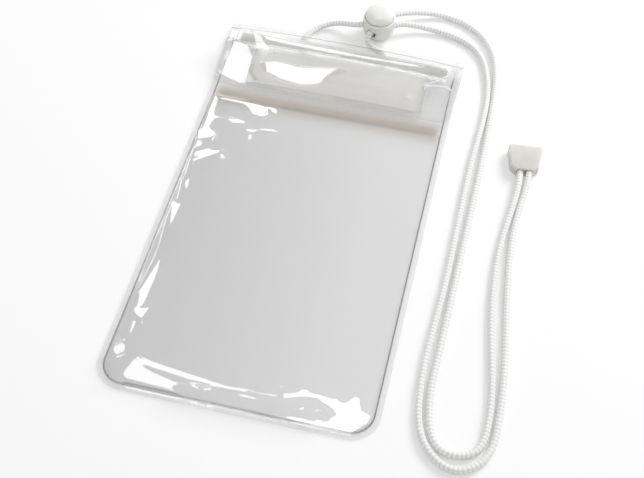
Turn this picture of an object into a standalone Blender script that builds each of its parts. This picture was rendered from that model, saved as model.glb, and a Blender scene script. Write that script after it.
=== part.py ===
"""Waterproof phone case: a clear film pouch with a fold-over flap, a neck cord and a cord lock.

The pouch lies on its back on z = 0. X runs across it, +Y runs up to the flap's edge and +Z is
the front. The origin is under the middle of the pouch. All sizes are in metres.
"""
import math

import bmesh
import bpy
import numpy as np

# Pouch
POUCH_LENGTH = 0.240
POUCH_WIDTH = 0.1326
SIDE_DRAW = 0.0013
CORNER_RADIUS = 0.014
FILM = 0.0003
WELD_WIDTH = 0.003
SEAT_GAP = 0.0003

# Space inside the pocket, which lies turned in the pouch
SPACE_SLACK_ACROSS = 0.0601
SPACE_SLACK_ALONG = 0.0385
SPACE_FOOT = 0.00925
SPACE_HEIGHT = 0.008
SPACE_CORNER = 0.011
SPACE_X = -0.006
SPACE_TURN = math.radians(-7.4)
POCKET_DROP = 0.0045

# Flap and its hook-and-loop strips
FLAP_LENGTH = 0.0495
FLAP_CORNER = 0.008
FLAP_WELD = 0.0035
FLAP_SHOULDER = 0.0035
FLAP_EDGE_DROP = 0.0018
STRIP_LENGTH = 0.096
STRIP_WIDTH = 0.026
STRIP_THICKNESS = 0.0007
STRIP_INSET = 0.005
STRIP_X = 0.001

# Press-to-close zip
MOUTH_DROP = 0.0075
ZIP_MARGIN = 0.0005
ZIP_TAPE_WIDTH = 0.007
ZIP_TAPE = 0.0004
ZIP_END_MARGIN = 0.0053
ZIP_RIB_WIDTH = 0.0008
ZIP_RIB_HEIGHT = 0.0006
ZIP_TRACK_SPACING = 0.0034
ZIP_RAMP = 0.003

# Neck cord and the strap that carries it behind the pouch
CORD_DIAMETER = 0.0033
CORD_POINTS = 80
CORD_BEND_WEIGHT = 0.045
STRAP_WIDTH = 0.020
STRAP_FILM = 0.0004
STRAP_TAB = 0.005
STRAP_SPAN = 0.0125
STRAP_DROP = 0.0193
LIFT_SPARE = 0.0002
LIFT_CORNER_LOSS = 0.6

# Cord lock
LOCK_X = 0.0146
LOCK_Y = 0.1350
LOCK_TURN = math.radians(40.0)
LOCK_RADIUS = 0.0085
LOCK_MIDDLE = 0.0078
LOCK_MOUTH = 0.0112
LOCK_WALL = 0.0010
LOCK_FLOOR = 0.0012
LOCK_RIM_ROUND = 0.0004
LOCK_HOLE_HEIGHT = 0.0070
LOCK_HOLE_OFFSET = 0.0040
LOCK_HOLE_CLEARANCE = 0.0007
BUTTON_CLEARANCE = 0.0002
BUTTON_SHOULDER = 0.0131
BUTTON_DOME = 0.0055
PRESS_TRAVEL = 0.003
PRESS_SPARE = 0.0004

# Spring in the lock
SPRING_WIRE = 0.00035
SPRING_RADIUS = 0.0011
SPRING_TURNS = 8
SPRING_POINTS_PER_TURN = 10
SPRING_BORE_CLEARANCE = 0.0002
SPRING_BORE_ROOF = 0.0008

# End clip
CLIP_X = 0.1072
CLIP_Y = 0.0572
CLIP_TURN = math.radians(5.0)
CLIP_LENGTH = 0.0165
CLIP_FAR_WIDTH = 0.0175
CLIP_NEAR_WIDTH = 0.0142
CLIP_THICKNESS = 0.0061
CLIP_CHAMFER = 0.0026
CLIP_ROUND = 0.0016
CLIP_EDGE_ROUND = 0.0007
CLIP_CHANNEL_OFFSET = 0.0022
CLIP_CHANNEL_DEPTH = 0.0123
CLIP_LEAD = 0.004
CLIP_PEG_RADIUS = 0.0011
CLIP_PEG_LENGTH = 0.0017
CLIP_PEG_CLEARANCE = 0.0003
CLIP_PEG_X = 0.0058
CLIP_PEG_Y = 0.0052

# Grid steps of the films
INNER_COLUMNS = 9
BODY_STEP = 0.0095
CLOSURE_STEP = 0.0045
STRIP_STEP = 0.0064
CORNER_ROWS = 4

# Values that follow from the sizes above
TOP_EDGE = POUCH_LENGTH / 2
BOTTOM_EDGE = -POUCH_LENGTH / 2
FLAP_EDGE = TOP_EDGE - FLAP_LENGTH
POCKET_TOP = FLAP_EDGE - POCKET_DROP
SPACE_WIDTH = POUCH_WIDTH - SPACE_SLACK_ACROSS
SPACE_LENGTH = POCKET_TOP - BOTTOM_EDGE - SPACE_SLACK_ALONG
SPACE_Y = BOTTOM_EDGE + SPACE_FOOT + SPACE_LENGTH / 2
MOUTH_EDGE = TOP_EDGE - MOUTH_DROP
ZIP_Y = MOUTH_EDGE - ZIP_MARGIN - ZIP_TAPE_WIDTH / 2
ZIP_LENGTH = POUCH_WIDTH - 2 * WELD_WIDTH - 2 * ZIP_END_MARGIN
ZIP_END = ZIP_LENGTH / 2 + 2 * SEAT_GAP
ZIP_LOW_EDGE = ZIP_Y - ZIP_TAPE_WIDTH / 2 - SEAT_GAP
STRIP_LOW = FLAP_EDGE + STRIP_INSET
STRIP_HIGH = STRIP_LOW + STRIP_WIDTH
STRAP_Y = TOP_EDGE - STRAP_DROP
LIFT_TOP = STRAP_Y - STRAP_SPAN / 2 - STRAP_TAB - SEAT_GAP
CORD_RADIUS = CORD_DIAMETER / 2
CORD_LIFT = STRAP_FILM + CORD_DIAMETER + 2 * SEAT_GAP + LIFT_SPARE
ZIP_GAP = ZIP_RIB_HEIGHT + SEAT_GAP
ZIP_STACK = 2 * ZIP_TAPE + ZIP_GAP + 2 * SEAT_GAP
STRIP_STACK = 2 * STRIP_THICKNESS + 3 * SEAT_GAP
FLAP_RISE = FILM + SEAT_GAP + max(ZIP_STACK, STRIP_STACK) + SEAT_GAP / 3
CORD_ON_TABLE = CORD_RADIUS + SEAT_GAP / 10
CORD_ON_STRAP = STRAP_FILM + SEAT_GAP + CORD_RADIUS + SEAT_GAP / 3
CLIP_SPLIT = CLIP_THICKNESS / 2
HOLE_RADIUS = CORD_RADIUS + LOCK_HOLE_CLEARANCE
SLOT_RADIUS = HOLE_RADIUS - BUTTON_CLEARANCE
LOCK_BORE = LOCK_RADIUS - LOCK_WALL
BUTTON_RADIUS = LOCK_BORE - BUTTON_CLEARANCE
BUTTON_BOTTOM = LOCK_FLOOR + PRESS_TRAVEL + PRESS_SPARE


def smooth(share):
    """Zero below 0, one above 1 and a smooth step between."""
    t = np.clip(share, 0.0, 1.0)
    return t * t * (3.0 - 2.0 * t)


def rounded_box_distance(x, y, half_x, half_y, radius):
    """Distance of a point outside a rectangle with round corners, and less than zero inside it."""
    qx = np.abs(x) - (half_x - radius)
    qy = np.abs(y) - (half_y - radius)
    outside = np.hypot(np.maximum(qx, 0.0), np.maximum(qy, 0.0))
    inside = np.minimum(np.maximum(qx, qy), 0.0)
    return outside + inside - radius


def half_width(y):
    """Half the pouch's width: full at the top edge, drawn in below the flap by the filled pocket."""
    return POUCH_WIDTH / 2 - SIDE_DRAW * smooth((TOP_EDGE - y) / FLAP_LENGTH)


def back_underside(x, y):
    """The back film lies flat, and rises near the top edge over the cord that passes below it."""
    rise = smooth((y - FLAP_EDGE) / (LIFT_TOP - FLAP_EDGE))
    crown = 1.0 - LIFT_CORNER_LOSS * (x / (POUCH_WIDTH / 2)) ** 2
    return CORD_LIFT * rise * crown


def back_top(x, y):
    """Upper face of the back film."""
    return back_underside(x, y) + FILM


def pocket_height(x, y):
    """Height of the pocket: full over its turned space and falling to the welds around it."""
    across, along = x - SPACE_X, y - SPACE_Y
    turn_cos, turn_sin = math.cos(SPACE_TURN), math.sin(SPACE_TURN)
    u = turn_cos * across + turn_sin * along
    v = turn_cos * along - turn_sin * across
    outside = np.maximum(
        rounded_box_distance(u, v, SPACE_WIDTH / 2, SPACE_LENGTH / 2, SPACE_CORNER), 0.0)
    body_half = POUCH_WIDTH / 2 - SIDE_DRAW
    to_outline = -rounded_box_distance(
        x, y - TOP_EDGE, body_half, POUCH_LENGTH, CORNER_RADIUS)
    to_weld = np.maximum(np.minimum(to_outline - WELD_WIDTH, POCKET_TOP - y), 0.0)
    share = to_weld / np.maximum(to_weld + outside, 1e-9)
    return SPACE_HEIGHT * smooth(share)


def closure_height(x, y):
    """Height of the front film over the zip: full across the zip, falling below and beside it."""
    rise = smooth((y - ZIP_LOW_EDGE + ZIP_RAMP) / ZIP_RAMP)
    weld_inner = half_width(y) - WELD_WIDTH
    fall = smooth((weld_inner - np.abs(x)) / np.maximum(weld_inner - ZIP_END, 1e-6))
    return ZIP_STACK * rise * fall


def front_underside(x, y):
    """The front film rests on the back film at its welds and bulges over the pocket and the zip."""
    bulge = np.maximum(pocket_height(x, y), closure_height(x, y))
    return back_top(x, y) + np.maximum(bulge, SEAT_GAP)


def front_top(x, y):
    """Upper face of the front film."""
    return front_underside(x, y) + FILM


def flap_underside(x, y):
    """The flap is welded along the top edge, climbs over the zip and droops at its two sides."""
    climb = smooth((TOP_EDGE - FLAP_WELD - y) / FLAP_SHOULDER)
    droop = smooth((np.abs(x) - ZIP_END) / (POUCH_WIDTH / 2 - ZIP_END)) * FLAP_EDGE_DROP
    return back_top(x, y) + SEAT_GAP + (FLAP_RISE - SEAT_GAP - droop) * climb


def loop_underside(x, y):
    """The loop strip sits on the front film."""
    return front_top(x, y) + SEAT_GAP


def hook_underside(x, y):
    """The hook strip lies on the loop strip, under the flap."""
    return loop_underside(x, y) + STRIP_THICKNESS + SEAT_GAP


def material(name, colour, roughness, metallic=0.0, alpha=1.0, transmission=0.0):
    """A plain Principled material."""
    found = bpy.data.materials.get(name)
    if found:
        return found
    made = bpy.data.materials.new(name)
    made.use_nodes = True
    shader = made.node_tree.nodes["Principled BSDF"]
    shader.inputs["Base Color"].default_value = (*colour, 1.0)
    shader.inputs["Roughness"].default_value = roughness
    shader.inputs["Metallic"].default_value = metallic
    shader.inputs["Alpha"].default_value = alpha
    shader.inputs["Transmission Weight"].default_value = transmission
    return made


def clear_film():
    """Clear soft PVC film."""
    return material("clear_pvc_film", (0.80, 0.81, 0.82), 0.08, alpha=0.4, transmission=0.6)


def milky_strip():
    """Nylon hook-and-loop tape, milky white."""
    return material("milky_nylon_tape", (0.72, 0.70, 0.67), 0.6, alpha=0.8)


def clear_profile():
    """Extruded clear zip profile."""
    return material("clear_zip_profile", (0.78, 0.79, 0.80), 0.2, alpha=0.5, transmission=0.4)


def white_cord():
    """Knitted white polyester cord."""
    return material("white_polyester_cord", (0.86, 0.86, 0.85), 0.8)


def milky_plastic():
    """Milky moulded polypropylene of the cord lock."""
    return material("milky_polypropylene", (0.78, 0.79, 0.73), 0.35)


def white_plastic():
    """White moulded plastic of the end clip."""
    return material("white_moulded_plastic", (0.74, 0.72, 0.69), 0.4)


def spring_steel():
    """Bright drawn spring wire."""
    return material("spring_steel", (0.62, 0.62, 0.60), 0.3, metallic=1.0)


def link(obj, collection, surface):
    """Puts an object in its collection and gives it its material."""
    collection.objects.link(obj)
    if surface is not None:
        obj.data.materials.append(surface)
    return obj


def object_from_bmesh(name, mesh_data, collection, surface):
    """Turns a bmesh into an object, with its faces made to point outwards."""
    bmesh.ops.recalc_face_normals(mesh_data, faces=mesh_data.faces)
    mesh = bpy.data.meshes.new(name)
    mesh_data.to_mesh(mesh)
    mesh_data.free()
    return link(bpy.data.objects.new(name, mesh), collection, surface)


def spread(low, high, step):
    """Evenly spaced values from low to high, no more than about one step apart."""
    return np.linspace(low, high, max(2, round((high - low) / step) + 1))


def film_rows(bottom, top, corner):
    """Rows of a film, the same for all films, and how far a round lower corner draws each row in."""
    angles = np.linspace(0.0, math.pi / 2, CORNER_ROWS + 1)
    arc_y = bottom + corner * (1.0 - np.cos(angles))
    arc_in = corner * (1.0 - np.sin(angles))
    stops = (BOTTOM_EDGE + CORNER_RADIUS, POCKET_TOP, FLAP_EDGE, STRIP_LOW, LIFT_TOP,
             ZIP_LOW_EDGE - ZIP_RAMP, ZIP_LOW_EDGE, MOUTH_EDGE, TOP_EDGE - FLAP_WELD, TOP_EDGE)
    lattice = [spread(stops[0], stops[1], BODY_STEP)]
    lattice += [spread(low, high, CLOSURE_STEP)[1:] for low, high in zip(stops[1:], stops[2:])]
    lattice = np.concatenate(lattice)
    straight = lattice[(lattice > bottom + corner + SEAT_GAP) & (lattice < top + SEAT_GAP / 3)]
    return np.concatenate([arc_y, straight]), np.concatenate([arc_in, np.zeros(len(straight))])


def film_columns():
    """Places of a film's points along a row, as shares of its half width."""
    half = POUCH_WIDTH / 2
    right = np.concatenate([np.linspace(0.0, ZIP_END, INNER_COLUMNS + 1),
                            [half - WELD_WIDTH, half]]) / half
    return np.concatenate([-right[:0:-1], right])


def film_sheet(name, x, y, underside, thickness, collection, surface):
    """A film on a grid of places, as arrays of rows, lifted to underside(x, y) and thickened."""
    row_count, column_count = x.shape
    mesh_data = bmesh.new()
    bmesh.ops.create_grid(mesh_data, x_segments=column_count - 1, y_segments=row_count - 1, size=0.5)
    grid = np.array([point.co[:2] for point in mesh_data.verts]) + 0.5
    column = np.rint(grid[:, 0] * (column_count - 1)).astype(int)
    row = np.rint(grid[:, 1] * (row_count - 1)).astype(int)
    places = np.stack([x, y, underside(x, y)], axis=2)[row, column]
    for point, place in zip(mesh_data.verts, places):
        point.co = place
    mesh = bpy.data.meshes.new(name)
    mesh_data.to_mesh(mesh)
    mesh_data.free()
    mesh.shade_smooth()
    obj = link(bpy.data.objects.new(name, mesh), collection, surface)
    shell = obj.modifiers.new("film", "SOLIDIFY")
    shell.thickness = thickness
    shell.offset = 1.0
    return obj


def pouch_film(name, bottom, top, corner, underside, collection):
    """A film as wide as the pouch, with two round lower corners."""
    rows, inset = film_rows(bottom, top, corner)
    reach = (half_width(rows) - inset)[:, None]
    x = reach * film_columns()[None, :]
    y = np.repeat(rows[:, None], x.shape[1], axis=1)
    return film_sheet(name, x, y, underside, FILM, collection, clear_film())


def closing_strip(name, underside, collection):
    """One of the two hook-and-loop strips."""
    rows = film_rows(FLAP_EDGE, TOP_EDGE, FLAP_CORNER)[0]
    rows = rows[(rows > STRIP_LOW + SEAT_GAP) & (rows < STRIP_HIGH - SEAT_GAP)]
    rows = np.concatenate([[STRIP_LOW], rows, [STRIP_HIGH]])
    columns = spread(STRIP_X - STRIP_LENGTH / 2, STRIP_X + STRIP_LENGTH / 2, STRIP_STEP)
    x, y = np.meshgrid(columns, rows)
    return film_sheet(name, x, y, underside, STRIP_THICKNESS, collection, milky_strip())


def carried_profile(name, outline, stations, lift, collection, surface):
    """A closed outline of (y, z) points carried along X through stations, raised by lift(x)."""
    mesh_data = bmesh.new()
    rings = []
    for x in stations:
        raise_by = float(lift(x))
        rings.append([mesh_data.verts.new((x, y, z + raise_by)) for y, z in outline])
    for near, far in zip(rings, rings[1:]):
        for i in range(len(outline)):
            j = (i + 1) % len(outline)
            mesh_data.faces.new((near[i], near[j], far[j], far[i]))
    mesh_data.faces.new(rings[0])
    mesh_data.faces.new(list(reversed(rings[-1])))
    return object_from_bmesh(name, mesh_data, collection, surface)


def make_pouch(parts):
    """The two welded films of the pouch and the flap, with the strips that close it."""
    pouch_film("back_panel", BOTTOM_EDGE, TOP_EDGE, CORNER_RADIUS, back_underside, parts)
    pouch_film("front_panel", BOTTOM_EDGE, MOUTH_EDGE, CORNER_RADIUS, front_underside, parts)
    pouch_film("closure_flap", FLAP_EDGE, TOP_EDGE, FLAP_CORNER, flap_underside, parts)
    closing_strip("loop_strip", loop_underside, parts)
    closing_strip("hook_strip", hook_underside, parts)


def make_zip(parts):
    """Two extruded profiles that press together: ribs on the back one, jaws on the front one."""
    half = ZIP_TAPE_WIDTH / 2
    stations = spread(-ZIP_LENGTH / 2, ZIP_LENGTH / 2, 2 * STRIP_STEP)
    tracks = (-ZIP_TRACK_SPACING / 2, ZIP_TRACK_SPACING / 2)

    def lift(x):
        return back_top(x, ZIP_Y) + SEAT_GAP

    back = [(ZIP_Y - half, 0.0), (ZIP_Y + half, 0.0), (ZIP_Y + half, ZIP_TAPE)]
    for track in reversed(tracks):
        middle = ZIP_Y + track
        back += [(middle + ZIP_RIB_WIDTH / 2, ZIP_TAPE),
                 (middle + ZIP_RIB_WIDTH / 2, ZIP_TAPE + ZIP_RIB_HEIGHT),
                 (middle - ZIP_RIB_WIDTH / 2, ZIP_TAPE + ZIP_RIB_HEIGHT),
                 (middle - ZIP_RIB_WIDTH / 2, ZIP_TAPE)]
    back.append((ZIP_Y - half, ZIP_TAPE))
    carried_profile("zip_profile_back", back, stations, lift, parts, clear_profile())

    low = ZIP_TAPE + ZIP_GAP
    jaw_inner = ZIP_RIB_WIDTH / 2 + SEAT_GAP
    jaw_outer = jaw_inner + ZIP_RIB_WIDTH * 0.6
    front = [(ZIP_Y - half, low + ZIP_TAPE), (ZIP_Y - half, low)]
    for track in tracks:
        middle = ZIP_Y + track
        front += [(middle - jaw_outer, low),
                  (middle - jaw_outer, low - ZIP_RIB_HEIGHT),
                  (middle - jaw_inner, low - ZIP_RIB_HEIGHT),
                  (middle - jaw_inner, low),
                  (middle + jaw_inner, low),
                  (middle + jaw_inner, low - ZIP_RIB_HEIGHT),
                  (middle + jaw_outer, low - ZIP_RIB_HEIGHT),
                  (middle + jaw_outer, low)]
    front += [(ZIP_Y + half, low), (ZIP_Y + half, low + ZIP_TAPE)]
    carried_profile("zip_profile_front", front, stations, lift, parts, clear_profile())


def make_strap(parts):
    """A film strap welded across the back at its two tabs, with the cord between it and the back."""
    half_span = STRAP_SPAN / 2
    bottom_y = np.array([-half_span - STRAP_TAB, -half_span, -half_span * 0.55,
                         half_span * 0.55, half_span, half_span + STRAP_TAB])
    panel = back_underside(np.full(len(bottom_y), STRAP_WIDTH / 2), STRAP_Y + bottom_y)
    seat = panel - SEAT_GAP - STRAP_FILM
    seat[2:4] = 0.0
    lower = [(STRAP_Y + y, z) for y, z in zip(bottom_y, seat)]
    upper = [(y, z + STRAP_FILM) for y, z in reversed(lower)]
    stations = (-STRAP_WIDTH / 2, STRAP_WIDTH / 2)
    carried_profile("cord_strap", lower + upper, stations, lambda x: 0.0, parts, clear_film())


def spline_through(points, samples):
    """A smooth curve through the route's points: a natural cubic in each coordinate.

    The curve's parameter is the summed chord length, and its bending is continuous.
    """
    knots = np.concatenate([[0.0], np.cumsum(np.linalg.norm(np.diff(points, axis=0), axis=1))])
    gap = np.diff(knots)
    count = len(points)
    system = np.eye(count)
    right = np.zeros((count, 3))
    for i in range(1, count - 1):
        system[i, i - 1:i + 2] = (gap[i - 1], 2.0 * (gap[i - 1] + gap[i]), gap[i])
        right[i] = 6.0 * ((points[i + 1] - points[i]) / gap[i] - (points[i] - points[i - 1]) / gap[i - 1])
    bend = np.linalg.solve(system, right)
    at = np.linspace(0.0, knots[-1], samples)
    i = np.clip(np.searchsorted(knots, at, side="right") - 1, 0, count - 2)
    width = gap[i][:, None]
    ahead = (knots[i + 1] - at)[:, None]
    past = (at - knots[i])[:, None]
    return (bend[i] * ahead ** 3 / (6 * width) + bend[i + 1] * past ** 3 / (6 * width)
            + (points[i] / width - bend[i] * width / 6) * ahead
            + (points[i + 1] / width - bend[i + 1] * width / 6) * past)


def thin_out(curve, count):
    """Picks count points of a dense curve, closer together where it bends."""
    steps = np.diff(curve, axis=0)
    length = np.linalg.norm(steps, axis=1)
    heading = steps / length[:, None]
    turn = np.zeros(len(length))
    turn[1:] = np.linalg.norm(np.diff(heading, axis=0), axis=1)
    weight = np.concatenate([[0.0], np.cumsum(length + CORD_BEND_WEIGHT * turn)])
    wanted = np.linspace(0.0, weight[-1], count)
    return np.stack([np.interp(wanted, weight, curve[:, k]) for k in range(3)], axis=1)


def lock_point(along, side, height):
    """A point of the cord lock: along its channels, to their side, and its height."""
    turn_cos, turn_sin = math.cos(LOCK_TURN), math.sin(LOCK_TURN)
    return (LOCK_X + along * turn_cos - side * turn_sin,
            LOCK_Y + along * turn_sin + side * turn_cos, height)


def clip_point(across, along, height):
    """A point of the end clip: across it, along it towards its wide end, and its height."""
    turn_cos, turn_sin = math.cos(CLIP_TURN), math.sin(CLIP_TURN)
    return (CLIP_X + across * turn_cos - along * turn_sin,
            CLIP_Y + across * turn_sin + along * turn_cos, height)


def cord_route():
    """The cord's route: clip, down and round, up, through the lock, behind the pouch and back."""
    table = CORD_ON_TABLE
    strap = CORD_ON_STRAP
    mouth = -CLIP_LENGTH / 2
    end = mouth + CLIP_CHANNEL_DEPTH - 2 * SEAT_GAP
    first_leg = [
        clip_point(-CLIP_CHANNEL_OFFSET, end, CLIP_SPLIT),
        clip_point(-CLIP_CHANNEL_OFFSET, mouth - CLIP_LEAD, CLIP_SPLIT),
        (0.1030, 0.0070, table), (0.1061, -0.0560, table), (0.1107, -0.1000, table),
        (0.1062, -0.1142, table), (0.0940, -0.1163, table), (0.0848, -0.0994, table),
        (0.0837, -0.0733, table), (0.0855, 0.0238, table), (0.0857, 0.0921, table),
        (0.0694, 0.1482, table), (0.0495, 0.1569, 0.0019),
        lock_point(LOCK_BORE, LOCK_HOLE_OFFSET, LOCK_HOLE_HEIGHT),
        lock_point(0.0, LOCK_HOLE_OFFSET, LOCK_HOLE_HEIGHT),
        lock_point(-LOCK_BORE, LOCK_HOLE_OFFSET, LOCK_HOLE_HEIGHT),
    ]
    behind = [
        (-0.0085, 0.1338, 0.0040), (-0.0240, 0.1190, 0.0020), (-0.0190, 0.1035, 0.0020),
        (-0.0030, STRAP_Y, strap), (0.0180, 0.1020, 0.0020), (0.0212, 0.1162, 0.0020),
        (0.0107, 0.1241, 0.0044),
    ]
    second_leg = [
        lock_point(-LOCK_BORE, -LOCK_HOLE_OFFSET, LOCK_HOLE_HEIGHT),
        lock_point(0.0, -LOCK_HOLE_OFFSET, LOCK_HOLE_HEIGHT),
        lock_point(LOCK_BORE, -LOCK_HOLE_OFFSET, LOCK_HOLE_HEIGHT),
        (0.0361, 0.1426, 0.0040), (0.0711, 0.1329, table), (0.0786, 0.1176, table),
        (0.0810, 0.0594, table), (0.0797, -0.0416, table), (0.0796, -0.0960, table),
        (0.0873, -0.1170, table), (0.1003, -0.1237, table), (0.1116, -0.1158, table),
        (0.1150, -0.1000, table), (0.1082, 0.0186, table), (0.1100, 0.0374, 0.0022),
        clip_point(CLIP_CHANNEL_OFFSET, mouth - CLIP_LEAD, CLIP_SPLIT),
        clip_point(CLIP_CHANNEL_OFFSET, end, CLIP_SPLIT),
    ]
    return np.array(first_leg + behind + second_leg)


def make_cord(parts):
    """The neck cord: one tube along the whole route."""
    curve = spline_through(cord_route(), 6000)
    curve[:, 2] = np.maximum(curve[:, 2], CORD_ON_TABLE)
    points = thin_out(curve, CORD_POINTS)
    data = bpy.data.curves.new("neck_cord", "CURVE")
    data.dimensions = "3D"
    data.bevel_depth = CORD_RADIUS
    data.bevel_resolution = 2
    data.use_fill_caps = True
    spline = data.splines.new("POLY")
    spline.points.add(len(points) - 1)
    for point, place in zip(spline.points, points):
        point.co = (*place, 1.0)
    link(bpy.data.objects.new("neck_cord", data), parts, white_cord())


def turned(name, profile, collection, surface, steps=28):
    """A profile of (radius, height) points turned about the lock's own axis."""
    mesh = bpy.data.meshes.new(name)
    points = [(radius, 0.0, height) for radius, height in profile]
    mesh.from_pydata(points, [(i, i + 1) for i in range(len(points) - 1)], [])
    obj = link(bpy.data.objects.new(name, mesh), collection, surface)
    obj.location = (LOCK_X, LOCK_Y, 0.0)
    obj.rotation_euler = (0.0, 0.0, LOCK_TURN)
    screw = obj.modifiers.new("turn", "SCREW")
    screw.steps = steps
    screw.render_steps = steps
    screw.use_merge_vertices = True
    screw.merge_threshold = 0.00001
    return obj


def cut(obj, tool):
    """Takes the cutter's shape out of an object."""
    boolean = obj.modifiers.new("cut_" + tool.name, "BOOLEAN")
    boolean.operation = "DIFFERENCE"
    boolean.solver = "EXACT"
    boolean.object = tool


def as_cutter(obj):
    """Marks an object as a cutter, which isn't part of the model."""
    obj.hide_render = True
    obj.display_type = "WIRE"
    return obj


def capsule_cutter(name, centre, low, high, radius, length, cutters):
    """A slot cutter: a round-ended upright outline between two heights, run along the channel."""
    mesh_data = bmesh.new()
    segments = 16
    outline = []
    for i in range(segments):
        angle = 2 * math.pi * (i + 0.5) / segments
        end = high if math.sin(angle) > 0 else low
        outline.append((radius * math.cos(angle), end + radius * math.sin(angle)))
    rings = [[mesh_data.verts.new((x, side, z)) for side, z in outline]
             for x in (-length / 2, length / 2)]
    for i in range(segments):
        j = (i + 1) % segments
        mesh_data.faces.new((rings[0][i], rings[0][j], rings[1][j], rings[1][i]))
    mesh_data.faces.new(rings[0])
    mesh_data.faces.new(list(reversed(rings[1])))
    obj = as_cutter(object_from_bmesh(name, mesh_data, cutters, None))
    obj.location = centre
    obj.rotation_euler = (0.0, 0.0, LOCK_TURN)
    return obj


def ball_profile(radius, middle, high, low, count):
    """Points down the side of a ball, from one height to another."""
    angles = np.linspace(math.asin((high - middle) / radius), math.asin((low - middle) / radius), count)
    return [(radius * math.cos(a), middle + radius * math.sin(a)) for a in angles]


def make_lock(parts, cutters):
    """A ball-shaped cord lock: a cup, a sprung button that is pressed down into it, and a spring."""
    outer = ball_profile(LOCK_RADIUS, LOCK_MIDDLE, LOCK_MIDDLE, 0.0, 7)
    bowl = ball_profile(LOCK_BORE, LOCK_MIDDLE, LOCK_MIDDLE, LOCK_FLOOR, 6)
    rim = [(LOCK_RADIUS - LOCK_RIM_ROUND, LOCK_MOUTH), (LOCK_RADIUS, LOCK_MOUTH - LOCK_RIM_ROUND)]
    body_profile = rim + outer + [(0.0, 0.0), (0.0, LOCK_FLOOR)] + bowl[::-1]
    body_profile += [(LOCK_BORE, LOCK_MOUTH), rim[0]]
    body = turned("lock_body", body_profile, parts, milky_plastic())

    middle = LOCK_MIDDLE + PRESS_TRAVEL
    dome = [(BUTTON_RADIUS * math.cos(a), BUTTON_SHOULDER + BUTTON_DOME * math.sin(a))
            for a in np.radians((90.0, 72.0, 54.0, 36.0, 18.0, 0.0))]
    dome[0] = (0.0, BUTTON_SHOULDER + BUTTON_DOME)
    ball = ball_profile(BUTTON_RADIUS, middle, middle, BUTTON_BOTTOM, 6)
    bore = SPRING_RADIUS + SPRING_WIRE / 2 + SPRING_BORE_CLEARANCE
    roof = LOCK_HOLE_HEIGHT + HOLE_RADIUS + PRESS_TRAVEL - SPRING_BORE_ROOF
    button_profile = dome + ball + [(bore, BUTTON_BOTTOM), (bore, roof), (0.0, roof)]
    button = turned("lock_button", button_profile, parts, milky_plastic())

    channel = 2 * LOCK_RADIUS + LOCK_WALL
    for name, side_sign in (("rear", 1), ("front", -1)):
        middle = lock_point(0.0, side_sign * LOCK_HOLE_OFFSET, 0.0)
        hole = capsule_cutter("body_hole_" + name, middle, LOCK_HOLE_HEIGHT, LOCK_HOLE_HEIGHT,
                              HOLE_RADIUS, channel, cutters)
        cut(body, hole)
        slot = capsule_cutter("button_slot_" + name, middle, LOCK_HOLE_HEIGHT,
                              LOCK_HOLE_HEIGHT + PRESS_TRAVEL, SLOT_RADIUS, channel, cutters)
        cut(button, slot)

    low = LOCK_FLOOR + SEAT_GAP + SPRING_WIRE / 2
    high = roof - SEAT_GAP - SPRING_WIRE / 2
    count = SPRING_TURNS * SPRING_POINTS_PER_TURN
    angle = np.linspace(0.0, 2 * math.pi * SPRING_TURNS, count + 1)
    height = np.linspace(low, high, count + 1)
    data = bpy.data.curves.new("lock_spring", "CURVE")
    data.dimensions = "3D"
    data.bevel_depth = SPRING_WIRE / 2
    data.bevel_resolution = 1
    data.use_fill_caps = True
    spline = data.splines.new("POLY")
    spline.points.add(count)
    for point, a, z in zip(spline.points, angle, height):
        point.co = (SPRING_RADIUS * math.cos(a), SPRING_RADIUS * math.sin(a), z, 1.0)
    spring = link(bpy.data.objects.new("lock_spring", data), parts, spring_steel())
    spring.location = (LOCK_X, LOCK_Y, 0.0)


def clip_outline():
    """Outline of the end clip: wide at its far end, with both corners of its mouth cut off."""
    half_far = CLIP_FAR_WIDTH / 2
    half_near = CLIP_NEAR_WIDTH / 2
    far, near = CLIP_LENGTH / 2, -CLIP_LENGTH / 2
    right = [(half_near - CLIP_CHAMFER, near), (half_near, near + CLIP_CHAMFER)]
    for angle in np.radians((0.0, 30.0, 60.0, 90.0)):
        right.append((half_far - CLIP_ROUND + CLIP_ROUND * math.cos(angle),
                      far - CLIP_ROUND + CLIP_ROUND * math.sin(angle)))
    return right + [(-x, y) for x, y in reversed(right)]


def clip_half(name, low, high, parts):
    """One half of the clip's shell, between two heights, with its outer edges rounded."""
    mesh_data = bmesh.new()
    bottom = [mesh_data.verts.new((x, y, low)) for x, y in clip_outline()]
    face = mesh_data.faces.new(bottom)
    grown = bmesh.ops.extrude_face_region(mesh_data, geom=[face])
    raised = [item for item in grown["geom"] if isinstance(item, bmesh.types.BMVert)]
    bmesh.ops.translate(mesh_data, verts=raised, vec=(0.0, 0.0, high - low))
    outside = high if low > 0 else low
    rim = [edge for edge in mesh_data.edges
           if all(abs(point.co.z - outside) < 1e-6 for point in edge.verts)]
    bmesh.ops.bevel(mesh_data, geom=rim, offset=CLIP_EDGE_ROUND, segments=2, profile=0.5,
                    affect="EDGES")
    obj = object_from_bmesh(name, mesh_data, parts, white_plastic())
    obj.location = (CLIP_X, CLIP_Y, 0.0)
    obj.rotation_euler = (0.0, 0.0, CLIP_TURN)
    return obj


def clip_cylinder(name, place, radius, length, along_clip, cutters):
    """An upright cylinder at a place of the clip, or one that lies along the clip."""
    mesh_data = bmesh.new()
    bmesh.ops.create_cone(mesh_data, cap_ends=True, segments=16, radius1=radius, radius2=radius,
                          depth=length)
    obj = object_from_bmesh(name, mesh_data, cutters, None)
    obj.location = clip_point(*place)
    obj.rotation_euler = (math.pi / 2 if along_clip else 0.0, 0.0, CLIP_TURN)
    return as_cutter(obj)


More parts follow.
